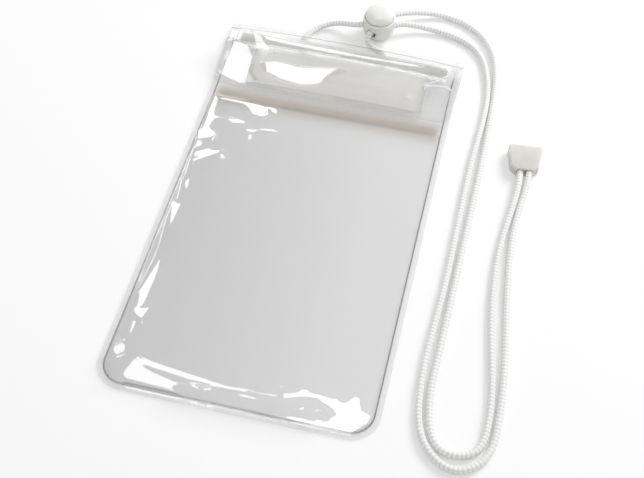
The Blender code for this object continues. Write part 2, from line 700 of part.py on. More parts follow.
def make_clip(parts, cutters):
    """The end clip: a base and a cover that snap together round the cord's two ends."""
    base = clip_half("clip_base", 0.0, CLIP_SPLIT - SEAT_GAP / 2, parts)
    cover = clip_half("clip_cover", CLIP_SPLIT + SEAT_GAP / 2, CLIP_THICKNESS, parts)
    mouth = -CLIP_LENGTH / 2
    overrun = 0.002
    for name, sign in (("left", -1), ("right", 1)):
        channel = clip_cylinder(
            "clip_channel_" + name,
            (sign * CLIP_CHANNEL_OFFSET, mouth + (CLIP_CHANNEL_DEPTH - overrun) / 2, CLIP_SPLIT),
            CORD_RADIUS + SEAT_GAP, CLIP_CHANNEL_DEPTH + overrun, True, cutters)
        cut(base, channel)
        cut(cover, channel)
        peg_place = (sign * CLIP_PEG_X, CLIP_PEG_Y, CLIP_SPLIT)
        depth = 2 * (CLIP_PEG_LENGTH + CLIP_PEG_CLEARANCE)
        socket = clip_cylinder("clip_socket_" + name, peg_place,
                               CLIP_PEG_RADIUS + CLIP_PEG_CLEARANCE, depth, False, cutters)
        cut(base, socket)
        peg = clip_cylinder("clip_peg_" + name, peg_place, CLIP_PEG_RADIUS,
                            2 * CLIP_PEG_LENGTH, False, cutters)
        join = cover.modifiers.new("peg_" + name, "BOOLEAN")
        join.operation = "UNION"
        join.solver = "EXACT"
        join.object = peg


def main():
    """Clears the scene and makes every piece."""
    for obj in list(bpy.data.objects):
        bpy.data.objects.remove(obj)
    parts = bpy.data.collections.new("waterproof_phone_case")
    cutters = bpy.data.collections.new("cutters")
    bpy.context.scene.collection.children.link(parts)
    bpy.context.scene.collection.children.link(cutters)
    make_pouch(parts)
    make_zip(parts)
    make_strap(parts)
    make_cord(parts)
    make_lock(parts, cutters)
    make_clip(parts, cutters)


main()
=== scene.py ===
"""The waterproof phone case as it lies on a pale table: film pouch, flap, cord, lock and clip."""
import math

import bmesh
import bpy
import numpy as np
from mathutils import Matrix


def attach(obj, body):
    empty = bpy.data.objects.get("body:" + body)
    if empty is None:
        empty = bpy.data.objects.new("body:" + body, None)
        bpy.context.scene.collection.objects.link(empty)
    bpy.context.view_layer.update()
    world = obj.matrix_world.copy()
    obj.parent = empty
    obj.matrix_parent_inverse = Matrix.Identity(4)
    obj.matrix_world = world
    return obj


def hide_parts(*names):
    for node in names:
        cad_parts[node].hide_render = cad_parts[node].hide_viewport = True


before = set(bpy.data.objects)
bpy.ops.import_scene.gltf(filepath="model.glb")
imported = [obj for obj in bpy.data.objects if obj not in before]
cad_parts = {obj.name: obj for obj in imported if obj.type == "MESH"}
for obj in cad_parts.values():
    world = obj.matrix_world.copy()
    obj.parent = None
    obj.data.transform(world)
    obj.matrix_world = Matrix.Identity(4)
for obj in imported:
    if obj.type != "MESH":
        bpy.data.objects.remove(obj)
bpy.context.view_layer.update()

# Camera, from the photo's perspective
CAMERA_PLACE = (0.0865678, -0.3572348, 0.4499823)
CAMERA_TURN = (37.73717, -1.30552, 13.17265)
CAMERA_LENS = 65.141

# Pouch sizes, repeated from the part's source
POUCH_LENGTH = 0.240
POUCH_WIDTH = 0.1326
SIDE_DRAW = 0.0013
CORNER_RADIUS = 0.014
FILM = 0.0003
WELD_WIDTH = 0.003
SEAT_GAP = 0.0003
TOP_EDGE = POUCH_LENGTH / 2
BOTTOM_EDGE = -POUCH_LENGTH / 2
FLAP_LENGTH = 0.0495
FLAP_CORNER = 0.008
FLAP_WELD = 0.0035
FLAP_SHOULDER = 0.0035
FLAP_EDGE_DROP = 0.0018
FLAP_EDGE = TOP_EDGE - FLAP_LENGTH
POCKET_TOP = FLAP_EDGE - 0.0045
SPACE_WIDTH = 0.0725
SPACE_LENGTH = 0.1475
SPACE_X = -0.006
SPACE_Y = -0.0370
SPACE_TURN = math.radians(-7.4)
SPACE_HEIGHT = 0.008
SPACE_CORNER = 0.011
MOUTH_EDGE = TOP_EDGE - 0.0075
ZIP_END = 0.0586
ZIP_LOW_EDGE = 0.1047
ZIP_RAMP = 0.003
ZIP_STACK = 0.0023
STRIP_X = 0.001
STRIP_LENGTH = 0.096
STRIP_WIDTH = 0.026
STRIP_THICKNESS = 0.0007
STRIP_LOW = 0.0755
LIFT_TOP = 0.08915
CORD_LIFT = 0.0045
LIFT_CORNER_LOSS = 0.6
FLAP_RISE = 0.0030

# Cord, lock and clip sizes, repeated from the part's source
CORD_DIAMETER = 0.0033
STRAP_Y = 0.1007
LOCK_X = 0.0146
LOCK_Y = 0.1350
LOCK_TURN = math.radians(40.0)
LOCK_BORE = 0.0075
BUTTON_RADIUS = 0.0073
BUTTON_SHOULDER = 0.0131
BUTTON_DOME = 0.0055
DOME_POWER = 3.0
DOME_LOW = 0.93
LOCK_MIDDLE = 0.0078
LOCK_MOUTH = 0.0112
LOCK_WIDER = 1.06
CUP_POWER = 2.6
RIM_RISE = 0.0011
LOCK_HOLE_HEIGHT = 0.0070
LOCK_HOLE_OFFSET = 0.0040
CLIP_X = 0.1072
CLIP_Y = 0.0572
CLIP_TURN = math.radians(5.0)
CLIP_LENGTH = 0.0165
CLIP_SPLIT = 0.00305
CLIP_CHANNEL_OFFSET = 0.0022
CLIP_CHANNEL_DEPTH = 0.0123
CLIP_LEAD = 0.004

# Knitted cord: rows of stitches along it and columns round it
STITCH_LENGTH = 0.00193
STITCH_COLUMNS = 6
RINGS_PER_STITCH = 6
SIDES_PER_COLUMN = 4
STITCH_DEPTH = 0.00022
STITCH_PROUD = 0.00006
STITCH_POWER = 0.7
COLUMN_LAG = 0.06
COLUMN_BOW = 0.10
COLUMN_ROUND = 0.75
STRAP_PASS = 0.00245
ROUTE_SAMPLES = 9000
PATH_STRIDE = 12

# Light: radiances of the lamps, and how bright the room and the table look
KEY_RADIANCE = 9.5
PANEL_RADIANCE = 5.0
ROOM_LIGHT = 0.62
TABLE_GLOW = 0.23
TABLE_HALF = 4.0
TABLE_LOW = -0.0001

# The pocket's rise: a fast roll beside the welds, then a slower climb
EDGE_ROLL = 0.0020
EDGE_REACH = 0.0020
EDGE_POWER = 1.4

# The flap's run below the zip, and its slack
FLAP_FOOT = 0.064
FLAP_RUN = 0.033
FLAP_BELLY = 0.0012
BELLY_TOP = 0.100
BELLY_RUN = 0.030
FLAP_DIP = 0.0006
FLAP_SIDE = 0.0663

# Tints of the film, each a share of its greyest, and where they lie; the pocket's and the flap's grey are
# painted shade, the band's a painted shadow
WELD_LINE = 0.00022
FLANGE_STEP = 0.0004
# The pocket's grey is painted shade, greater at the left
POCKET_PAINTED_SHADE = 0.66
POCKET_PAINTED_SHADE_FALL = 4.6
POCKET_PAINTED_SHADE_LEAST = 0.48
POCKET_PAINTED_SHADE_MOST = 0.92
# The warm band above the pocket is a painted shadow, just below the flap's free edge
SHADOW_BAND_MIDDLE = 0.0667
SHADOW_BAND_REACH = 0.0062
SIDE_EASE = 0.0635
# The flap's grey is painted shade, more beside the strips and none over them
FLAP_PAINTED_SHADE = 0.4
FLAP_PAINTED_SHADE_BESIDE = 0.5
FLAP_PAINTED_SHADE_TOP = 0.110
STRIP_STEP = 0.004

# Hard folds of the flap: how high and how wide they are, and the white of their painted highlight
FOLD_SPOT = (41, 83)
FOLD_PAINTED_HIGHLIGHT = 0.75
FOLD_HIGHLIGHT_REACH = 0.00055
FOLD_RISE = 0.0005
FOLD_WIDTH = 0.0012

# A film's reflection when it is looked at straight on
FILM_MIRROR = 0.045


def linear(colour):
    """An sRGB hex colour as linear RGBA."""
    parts = [int(colour[i:i + 2], 16) / 255.0 for i in (1, 3, 5)]
    parts = [p / 12.92 if p <= 0.04045 else ((p + 0.055) / 1.055) ** 2.4 for p in parts]
    return (*parts, 1.0)


def smooth(share):
    """Zero below 0, one above 1 and a smooth step between."""
    t = np.clip(share, 0.0, 1.0)
    return t * t * (3.0 - 2.0 * t)


# Camera, lamps and table

def place_camera():
    """The camera, looking down and along the case from its lower right."""
    data = bpy.data.cameras.new("camera")
    data.lens = CAMERA_LENS
    data.sensor_width = 36.0
    data.clip_start = 0.01
    camera = bpy.data.objects.new("camera", data)
    camera.location = CAMERA_PLACE
    camera.rotation_euler = [math.radians(a) for a in CAMERA_TURN]
    bpy.context.scene.collection.objects.link(camera)
    bpy.context.scene.camera = camera


def add_lamp(name, place, aim, wide, high, radiance, lights=True, mirrored=True):
    """A soft rectangular lamp at place that looks at aim; a lamp's power is pi times its
    radiance and its area. It may light surfaces, be seen in their reflections, or both."""
    data = bpy.data.lights.new(name, "AREA")
    data.shape = "RECTANGLE"
    data.size = wide
    data.size_y = high
    data.energy = math.pi * radiance * wide * high
    lamp = bpy.data.objects.new(name, data)
    lamp.location = place
    away = np.array(place) - np.array(aim)
    away = away / np.linalg.norm(away)
    lamp.rotation_euler = (math.acos(away[2]), 0.0, math.atan2(away[0], -away[1]))
    lamp.visible_diffuse = lights
    lamp.visible_glossy = mirrored
    lamp.visible_camera = False
    bpy.context.scene.collection.objects.link(lamp)


# Each panel's name, its place, the point it looks at, its width and its height
MIRRORED_PANELS = (
    ("overhead_panel", (-0.20, -0.45, 1.00), (-0.20, -0.45, 0.00), 0.80, 0.90),
    ("flap_panel", (-0.27, 0.15, 1.00), (-0.27, 0.15, 0.00), 0.26, 0.30),
    ("left_panel", (-0.95, 0.80, 0.35), (0.00, 0.00, 0.00), 0.45, 0.40),
    ("far_panel", (-0.33, 1.24, 0.29), (-0.05, 0.04, 0.00), 0.18, 0.16),
)


def light_studio():
    """A lamp at the back right lights the case and isn't mirrored; four panels are mirrored in
    the film and light nothing; and the pale room fills the shade."""
    add_lamp(
        "key_softbox", (0.62, 0.80, 0.72), (0.0, 0.0, 0.0), 0.55, 0.55, KEY_RADIANCE, mirrored=False)
    for name, place, aim, wide, high in MIRRORED_PANELS:
        add_lamp(name, place, aim, wide, high, PANEL_RADIANCE, lights=False)
    world = bpy.data.worlds.new("pale_room")
    bpy.context.scene.world = world
    world.use_nodes = True
    tree = world.node_tree
    tree.nodes.clear()
    seen = seen_rays(tree)
    strength = node(tree, "ShaderNodeMapRange", {0: seen, 3: ROOM_LIGHT, 4: 1.0})
    back = node(tree, "ShaderNodeBackground", {"Color": linear("#FFFFFF"), "Strength": strength})
    node(tree, "ShaderNodeOutputWorld", {"Surface": back})


def seen_rays(tree):
    """One for rays from the camera, from a mirror or through glass, and zero for lighting rays."""
    path = node(tree, "ShaderNodeLightPath")
    straight = node(tree, "ShaderNodeMath", {
        0: path.outputs["Is Camera Ray"], 1: path.outputs["Is Glossy Ray"]}, operation="MAXIMUM")
    return node(tree, "ShaderNodeMath", {
        0: straight, 1: path.outputs["Is Transmission Ray"]}, operation="MAXIMUM")


def lay_table():
    """A plain pale table top, square, far wider than the case, and just clear of the film."""
    half = TABLE_HALF
    low = TABLE_LOW
    mesh = bpy.data.meshes.new("table_top")
    mesh.from_pydata([(-half, -half, low), (half, -half, low), (half, half, low), (-half, half, low)],
                     [], [(0, 1, 2, 3)])
    table = bpy.data.objects.new("table_top", mesh)
    bpy.context.scene.collection.objects.link(table)
    material, tree, out = new_material("painted_table")
    matt = node(tree, "ShaderNodeBsdfDiffuse", {"Color": linear("#EDEDED"), "Roughness": 0.3})
    seen = seen_rays(tree)
    lift = node(tree, "ShaderNodeMath", {0: seen, 1: TABLE_GLOW}, operation="MULTIPLY")
    glow = node(tree, "ShaderNodeEmission", {"Color": linear("#FFFFFF"), "Strength": lift})
    both = node(tree, "ShaderNodeAddShader", {0: matt, 1: glow})
    tree.links.new(both.outputs[0], out.inputs["Surface"])
    mesh.materials.append(material)


# Nodes and meshes

def node(tree, kind, inputs=(), **settings):
    """Adds a node of that kind with its settings; an input is a value, a socket or a node."""
    made = tree.nodes.new(kind)
    for key, value in settings.items():
        setattr(made, key, value)
    for key, value in dict(inputs).items():
        if isinstance(value, bpy.types.Node):
            value = next(o for o in value.outputs if o.enabled)
        if isinstance(value, bpy.types.NodeSocket):
            tree.links.new(value, made.inputs[key])
        else:
            made.inputs[key].default_value = value
    return made


def new_material(name):
    """An empty node material, its tree and its output node."""
    material = bpy.data.materials.new(name)
    material.use_nodes = True
    tree = material.node_tree
    tree.nodes.clear()
    return material, tree, tree.nodes.new("ShaderNodeOutputMaterial")


def mesh_piece(name, points, faces, material, body):
    """A mesh object from arrays of points and of four-cornered faces, riding on a body."""
    mesh = bpy.data.meshes.new(name)
    mesh.vertices.add(len(points))
    mesh.vertices.foreach_set("co", np.asarray(points, np.float32).ravel())
    faces = np.asarray(faces, np.int32)
    mesh.loops.add(faces.size)
    mesh.loops.foreach_set("vertex_index", faces.ravel())
    mesh.polygons.add(len(faces))
    mesh.polygons.foreach_set("loop_start", np.arange(len(faces), dtype=np.int32) * 4)
    mesh.polygons.foreach_set("use_smooth", np.full(len(faces), True))
    mesh.update(calc_edges=True)
    mesh.validate()
    mesh.materials.append(material)
    piece = bpy.data.objects.new(name, mesh)
    bpy.context.scene.collection.objects.link(piece)
    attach(piece, body)
    return piece


def add_attribute(piece, name, values):
    """Stores one number per point on the mesh, for its material to read."""
    layer = piece.data.attributes.new(name, "FLOAT", "POINT")
    layer.data.foreach_set("value", np.asarray(values, np.float32).ravel())


def slab(name, x, y, low, high, material, body, marks=()):
    """A closed sheet between two heights over one grid of rows and columns.

    Points are (x, y, high) and (x, y, low); the rim joins the two along the grid's border. A
    mark holds one array for the upper side and one for the under side.
    """
    rows, columns = x.shape
    count = rows * columns
    points = np.concatenate([
        np.stack([x, y, high], axis=-1).reshape(-1, 3),
        np.stack([x, y, low], axis=-1).reshape(-1, 3)])
    index = np.arange(count).reshape(rows, columns)
    top = np.stack([index[:-1, :-1], index[:-1, 1:], index[1:, 1:], index[1:, :-1]], -1)
    top = top.reshape(-1, 4)
    under = top[:, ::-1] + count
    border = np.concatenate([index[0, :-1], index[:-1, -1], index[-1, :0:-1], index[:0:-1, 0]])
    ahead = np.roll(border, -1)
    rim = np.stack([border, border + count, ahead + count, ahead], -1)
    piece = mesh_piece(name, points, np.concatenate([top, under, rim]), material, body)
    piece.data.set_sharp_from_angle(angle=math.radians(50.0))
    for mark, (upper, under) in dict(marks).items():
        add_attribute(piece, mark, np.concatenate([upper.ravel(), under.ravel()]))
    return piece


def film_marks(x, y, away, fused_side):
    """Marks of a film: its pressed weld line, its flange, and the side that is fused there, so
    that it has no surface of its own; the pocket's painted shade; the warm band above the
    pocket, a painted shadow; and a fold's painted highlight, empty here. The pocket's painted
    shade gets less from left to right."""
    line = np.exp(-(away / WELD_LINE) ** 2)
    flange = smooth(-away / FLANGE_STEP)
    none = np.zeros(away.shape)
    fused = (flange, none) if fused_side == "upper" else (none, flange)
    # Painted shade over the pocket, greater at the left, kept off the flange
    share = np.clip(POCKET_PAINTED_SHADE - POCKET_PAINTED_SHADE_FALL * x, POCKET_PAINTED_SHADE_LEAST, POCKET_PAINTED_SHADE_MOST)
    inside = smooth(away / FLANGE_STEP + 1.0)
    pocket = smooth((POCKET_TOP + 0.001 - y) / 0.003) * inside * share
    # Painted shadow: a warm band above the pocket, just below the flap's free edge
    band = np.exp(-((y - SHADOW_BAND_MIDDLE) / SHADOW_BAND_REACH) ** 2) * smooth((SIDE_EASE - np.abs(x)) / 0.006)
    return {"weld": (line, none), "flange": (flange, flange), "fused": fused,
            "pocket": (pocket, pocket), "band": (band, none), "fold": (none, none)}


def smoothed_copy(node_name, name, material, body, reshape=None):
    """The CAD node's own shape with its loose triangles merged and shaded as one surface; its
    edges stay sharp over 32 degrees. reshape, where it is given, changes the copy's shape."""
    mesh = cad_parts[node_name].data.copy()
    mesh.name = name
    work = bmesh.new()
    work.from_mesh(mesh)
    bmesh.ops.remove_doubles(work, verts=work.verts, dist=2e-6)
    bmesh.ops.dissolve_limit(work, angle_limit=math.radians(0.5), verts=work.verts, edges=work.edges)
    if reshape:
        reshape(work)
    work.to_mesh(mesh)
    work.free()
    mesh.materials.clear()
    mesh.materials.append(material)
    mesh.shade_smooth()
    mesh.set_sharp_from_angle(angle=math.radians(32.0))
    piece = bpy.data.objects.new(name, mesh)
    bpy.context.scene.collection.objects.link(piece)
    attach(piece, body)
    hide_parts(node_name)
    return piece


def square_dome(work):
    """The lock's button with fuller shoulders: points over its shoulder move out from its middle
    onto a superellipse, whose two shares to the power DOME_POWER add up to one."""
    over = [e for e in work.edges if min(v.co.z for v in e.verts) > BUTTON_SHOULDER - 1e-5]
    bmesh.ops.subdivide_edges(work, edges=over, cuts=1, use_grid_fill=True)
    for corner in work.verts:
        rise = (corner.co.z - BUTTON_SHOULDER) / BUTTON_DOME
        if rise < 1e-3:
            continue
        across = np.array((corner.co.x - LOCK_X, corner.co.y - LOCK_Y)) / BUTTON_RADIUS
        size = (rise ** DOME_POWER + np.hypot(*across) ** DOME_POWER) ** (1.0 / DOME_POWER)
        across = across / size * BUTTON_RADIUS
        height = BUTTON_SHOULDER + DOME_LOW * BUTTON_DOME * rise / size
        corner.co = (LOCK_X + across[0], LOCK_Y + across[1], height)
    widen_lock(work, lambda height: LOCK_WIDER)


def full_cup(work):
    """The lock's cup with a fuller belly and a higher rim: below its middle the ball's radius, a
    circle's height over its share of the depth, becomes a superellipse's."""
    def wider(height):
        share = min(max(LOCK_MIDDLE - height, 0.0) / LOCK_MIDDLE, 0.95)
        fuller = (1.0 - share ** CUP_POWER) ** (1.0 / CUP_POWER)
        return LOCK_WIDER * fuller / math.sqrt(1.0 - share ** 2)

    widen_lock(work, wider)
    for corner in work.verts:
        if corner.co.z > LOCK_MOUTH - 0.0007:
            corner.co.z += RIM_RISE


def widen_lock(work, wider):
    """Moves points out from the lock's axis by a factor of their height."""
    for corner in work.verts:
        factor = wider(corner.co.z)
        corner.co.x = LOCK_X + (corner.co.x - LOCK_X) * factor
        corner.co.y = LOCK_Y + (corner.co.y - LOCK_Y) * factor


# Cord

def lock_point(along, side, height):
    """A point inside the cord lock: along its channels, to one side, and at a height."""
    turn_cos, turn_sin = math.cos(LOCK_TURN), math.sin(LOCK_TURN)
    return (LOCK_X + turn_cos * along - turn_sin * side,
            LOCK_Y + turn_sin * along + turn_cos * side, height)


def clip_point(across, along, height):
    """A point in the end clip, from its middle."""
    turn_cos, turn_sin = math.cos(CLIP_TURN), math.sin(CLIP_TURN)
    return (CLIP_X + turn_cos * across - turn_sin * along,
            CLIP_Y + turn_sin * across + turn_cos * along, height)


def cord_route():
    """The route of the cord, from one end in the clip, through the lock twice, to the other."""
    table = CORD_DIAMETER / 2 + 0.00003
    strap = STRAP_PASS
    mouth = -CLIP_LENGTH / 2
    end = mouth + CLIP_CHANNEL_DEPTH
    first_leg = [
        clip_point(-CLIP_CHANNEL_OFFSET, end, CLIP_SPLIT),
        clip_point(-CLIP_CHANNEL_OFFSET, mouth - CLIP_LEAD, CLIP_SPLIT),
        (0.1030, 0.0070, table), (0.1061, -0.0560, table), (0.1107, -0.1000, table),
        (0.1062, -0.1142, table), (0.0940, -0.1163, table), (0.0848, -0.0994, table),
        (0.0837, -0.0733, table), (0.0855, 0.0238, table), (0.0857, 0.0921, table),
        (0.0694, 0.1482, table), (0.0495, 0.1569, 0.0019),
        lock_point(LOCK_BORE, LOCK_HOLE_OFFSET, LOCK_HOLE_HEIGHT),
        lock_point(0.0, LOCK_HOLE_OFFSET, LOCK_HOLE_HEIGHT),
        lock_point(-LOCK_BORE, LOCK_HOLE_OFFSET, LOCK_HOLE_HEIGHT),
    ]
    behind = [
        (-0.0085, 0.1338, 0.0040), (-0.0240, 0.1190, 0.0020), (-0.0190, 0.1035, 0.0020),
        (-0.0030, STRAP_Y, strap), (0.0180, 0.1020, 0.0020), (0.0212, 0.1162, 0.0020),
        (0.0107, 0.1241, 0.0044),
    ]
    second_leg = [
        lock_point(-LOCK_BORE, -LOCK_HOLE_OFFSET, LOCK_HOLE_HEIGHT),
        lock_point(0.0, -LOCK_HOLE_OFFSET, LOCK_HOLE_HEIGHT),
        lock_point(LOCK_BORE, -LOCK_HOLE_OFFSET, LOCK_HOLE_HEIGHT),
        (0.0361, 0.1426, 0.0040), (0.0711, 0.1329, table), (0.0786, 0.1176, table),
        (0.0810, 0.0594, table), (0.0797, -0.0416, table), (0.0796, -0.0960, table),
        (0.0873, -0.1170, table), (0.1003, -0.1237, table), (0.1116, -0.1158, table),
        (0.1150, -0.1000, table), (0.1082, 0.0186, table), (0.1100, 0.0374, 0.0022),
        clip_point(CLIP_CHANNEL_OFFSET, mouth - CLIP_LEAD, CLIP_SPLIT),
        clip_point(CLIP_CHANNEL_OFFSET, end, CLIP_SPLIT),
    ]
    return np.array(first_leg + behind + second_leg)


def spline_through(points, samples):
    """A smooth curve through the route's points: a natural cubic in each coordinate.

    The curve's parameter is the summed chord length, and its bending is continuous.
    """
    knots = np.concatenate([[0.0], np.cumsum(np.linalg.norm(np.diff(points, axis=0), axis=1))])
    gap = np.diff(knots)
    count = len(points)
    system = np.eye(count)
    right = np.zeros((count, 3))
    for i in range(1, count - 1):
        system[i, i - 1:i + 2] = (gap[i - 1], 2.0 * (gap[i - 1] + gap[i]), gap[i])
        right[i] = 6.0 * ((points[i + 1] - points[i]) / gap[i] - (points[i] - points[i - 1]) / gap[i - 1])
    bend = np.linalg.solve(system, right)
    at = np.linspace(0.0, knots[-1], samples)
    i = np.clip(np.searchsorted(knots, at, side="right") - 1, 0, count - 2)
    width = gap[i][:, None]
    ahead = (knots[i + 1] - at)[:, None]
    past = (at - knots[i])[:, None]
    return (bend[i] * ahead ** 3 / (6 * width) + bend[i + 1] * past ** 3 / (6 * width)
            + (points[i] / width - bend[i] * width / 6) * ahead
            + (points[i + 1] / width - bend[i + 1] * width / 6) * past)


def even_steps(curve, step):
    """The same curve with its points an even step apart along it."""
    along = np.concatenate([[0.0], np.cumsum(np.linalg.norm(np.diff(curve, axis=0), axis=1))])
    count = int(round(along[-1] / step)) + 1
    at = np.linspace(0.0, along[-1], count)
    return np.stack([np.interp(at, along, curve[:, k]) for k in range(3)], axis=1), at


def make_neck_cord():
    """Knitted cord: a tube whose radius dips between its stitches.

    Stitches stand in columns round the cord. Along a column the radius follows a cosine's size to
    a power, and every second column is a little behind, so the rows read as ribs. Across a column
    it follows a cosine, and the two are multiplied.
    """
    curve = spline_through(cord_route(), ROUTE_SAMPLES)
    line, at = even_steps(curve, STITCH_LENGTH / RINGS_PER_STITCH)
    line[:, 2] = np.maximum(line[:, 2], CORD_DIAMETER / 2 + STITCH_PROUD)
    ahead = np.gradient(line, axis=0)
    ahead /= np.linalg.norm(ahead, axis=1)[:, None]
    side = np.cross(ahead, (0.0, 0.0, 1.0))
    side /= np.linalg.norm(side, axis=1)[:, None]
    over = np.cross(side, ahead)
    sides = STITCH_COLUMNS * SIDES_PER_COLUMN
    angle = np.arange(sides) * (2.0 * math.pi / sides)
    column = np.arange(sides) // SIDES_PER_COLUMN
    within = (np.arange(sides) % SIDES_PER_COLUMN + 0.5) / SIDES_PER_COLUMN - 0.5
    shift = COLUMN_LAG * (column % 2)
    row = at[:, None] / STITCH_LENGTH + shift[None, :] + COLUMN_BOW * np.abs(within)[None, :]
    across = np.cos(math.pi * COLUMN_ROUND * within)[None, :]
    swell = np.abs(np.cos(math.pi * row)) ** STITCH_POWER * across
    radius = CORD_DIAMETER / 2 + STITCH_PROUD - STITCH_DEPTH * (1.0 - swell)
    ring = (np.cos(angle)[None, :, None] * side[:, None, :]
            + np.sin(angle)[None, :, None] * over[:, None, :])
    points = line[:, None, :] + radius[:, :, None] * ring
    rings = len(line)
    index = np.arange(rings * sides).reshape(rings, sides)
    nxt = np.roll(index, -1, axis=1)
    faces = np.stack([index[:-1], nxt[:-1], nxt[1:], index[1:]], -1).reshape(-1, 4)
    flat = points.reshape(-1, 3)
    caps = []
    for ring_index, flip in ((index[0], True), (index[-1], False)):
        low = ring_index[:sides // 2]
        high = ring_index[::-1][:sides // 2]
        cap = np.stack([low[:-1], low[1:], high[1:], high[:-1]], -1)
        caps.append(cap[:, ::-1] if flip else cap)
    faces = np.concatenate([faces] + caps)
    cord = mesh_piece("knitted_neck_cord", flat, faces, knitted_polyester(), "case")
    add_attribute(cord, "groove", 1.0 - swell)
    add_attribute(cord, "along", np.repeat(at, sides))
    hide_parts("neck_cord")
    return cord, line[::PATH_STRIDE], float(at[-1])


# Film pouch

def rounded_box_distance(x, y, half_x, half_y, radius):
    """Distance of a point outside a rectangle with round corners, and less than zero inside it."""
    qx = np.abs(x) - (half_x - radius)
    qy = np.abs(y) - (half_y - radius)
    outside = np.hypot(np.maximum(qx, 0.0), np.maximum(qy, 0.0))
    inside = np.minimum(np.maximum(qx, qy), 0.0)
    return outside + inside - radius


def half_width(y):
    """Half the pouch's width: full at the top edge, drawn in below the flap by the filled pocket."""
    return POUCH_WIDTH / 2 - SIDE_DRAW * smooth((TOP_EDGE - y) / FLAP_LENGTH)


def edge_distance(x, y):
    """How far a point is inside the pouch's side and bottom outline."""
    return -rounded_box_distance(
        x, y - TOP_EDGE, POUCH_WIDTH / 2 - SIDE_DRAW, POUCH_LENGTH, CORNER_RADIUS)


def back_underside(x, y):
    """The back film lies flat, and rises near the top edge over the cord that passes below it."""
    rise = smooth((y - FLAP_EDGE) / (LIFT_TOP - FLAP_EDGE))
    crown = 1.0 - LIFT_CORNER_LOSS * (x / (POUCH_WIDTH / 2)) ** 2
    return CORD_LIFT * rise * crown


def back_top(x, y):
    """Upper face of the back film."""
    return back_underside(x, y) + FILM


def pocket_height(x, y):
    """Height of the pocket: full over its turned space and falling to the welds around it.

    Beside a weld the film rolls up fast, as one less an exponential; from there to the space it
    climbs more and more slowly, by a power of the share of the way.
    """
    across, along = x - SPACE_X, y - SPACE_Y
    turn_cos, turn_sin = math.cos(SPACE_TURN), math.sin(SPACE_TURN)
    u = turn_cos * across + turn_sin * along
    v = turn_cos * along - turn_sin * across
    outside = np.maximum(
        rounded_box_distance(u, v, SPACE_WIDTH / 2, SPACE_LENGTH / 2, SPACE_CORNER), 0.0)
    to_weld = np.maximum(np.minimum(edge_distance(x, y) - WELD_WIDTH, POCKET_TOP - y), 0.0)
    share = to_weld / np.maximum(to_weld + outside, 1e-9)
    roll = EDGE_ROLL * (1.0 - np.exp(-to_weld / EDGE_REACH))
    return roll + (SPACE_HEIGHT - EDGE_ROLL) * (1.0 - (1.0 - share) ** EDGE_POWER)


def closure_height(x, y):
    """Height of the front film over the zip: full across the zip, falling below and beside it."""
    rise = smooth((y - ZIP_LOW_EDGE + ZIP_RAMP) / ZIP_RAMP)
    weld_inner = half_width(y) - WELD_WIDTH
    fall = smooth((weld_inner - np.abs(x)) / np.maximum(weld_inner - ZIP_END, 1e-6))
    return ZIP_STACK * rise * fall


def front_underside(x, y):
    """The front film rests on the back film at its welds and bulges over the pocket and the zip."""
    bulge = np.maximum(pocket_height(x, y), closure_height(x, y))
    return back_top(x, y) + np.maximum(bulge, SEAT_GAP)


def flap_underside(x, y):
    """The flap is welded along the top edge, climbs over the zip and droops at its two sides.

    Below the zip it runs down to its free edge more gently than the back film under it, with a
    slack belly.
    """
    climb = smooth((TOP_EDGE - FLAP_WELD - y) / FLAP_SHOULDER)
    droop = smooth((np.abs(x) - ZIP_END) / (POUCH_WIDTH / 2 - ZIP_END)) * FLAP_EDGE_DROP
    crown = 1.0 - LIFT_CORNER_LOSS * (x / (POUCH_WIDTH / 2)) ** 2
    gentle = CORD_LIFT * smooth((y - FLAP_FOOT) / FLAP_RUN) * crown + FILM
    belly = FLAP_BELLY * smooth((BELLY_TOP - y) / BELLY_RUN)
    rise = (FLAP_RISE - SEAT_GAP - droop + belly) * climb
    return np.maximum(gentle, back_top(x, y) - FLAP_DIP) + SEAT_GAP + rise


def crease(x, y, line, height, near, far):
    """A soft ridge along a broken line: a bell curve of the distance to it.

    near is the bell's width to the right of the line's direction, far to its left.
    """
    best = np.full(x.shape, 1.0)
    side = np.zeros(x.shape)
    line = np.array(line) / 1000.0
    for start, end in zip(line[:-1], line[1:]):
        run = end - start
        size = float(run @ run)
        share = np.clip(((x - start[0]) * run[0] + (y - start[1]) * run[1]) / size, 0.0, 1.0)
        dx = x - start[0] - share * run[0]
        dy = y - start[1] - share * run[1]
        away = np.hypot(dx, dy)
        turn = run[0] * dy - run[1] * dx
        closer = away < best
        best = np.where(closer, away, best)
        side = np.where(closer, turn, side)
    width = np.where(side < 0.0, near, far)
    return height * np.exp(-(best / width) ** 2)


def mound(x, y, middle, across, along, height, turn=0.0):
    """A soft mound: a bell curve of the distance from its middle, wider one way than the other."""
    turn_cos, turn_sin = math.cos(turn), math.sin(turn)
    dx, dy = x - middle[0] / 1000.0, y - middle[1] / 1000.0
    u = (turn_cos * dx + turn_sin * dy) / across
    v = (turn_cos * dy - turn_sin * dx) / along
    return height * np.exp(-u * u - v * v)


def outline_distance(x, y, outline):
    """Distance to a closed outline given in millimetres: above zero inside it, below outside."""
    corners = np.array(outline) / 1000.0
    best = np.full(x.shape, 1.0)
    inside = np.zeros(x.shape, bool)
    for start, end in zip(corners, np.roll(corners, -1, axis=0)):
        run = end - start
        share = np.clip(((x - start[0]) * run[0] + (y - start[1]) * run[1]) / float(run @ run), 0.0, 1.0)
        best = np.minimum(best, np.hypot(x - start[0] - share * run[0], y - start[1] - share * run[1]))
        crosses = (start[1] > y) != (end[1] > y)
        meet = start[0] + (y - start[1]) * run[0] / (run[1] if run[1] else 1e-9)
        inside ^= crosses & (x < meet)
    return np.where(inside, best, -best)


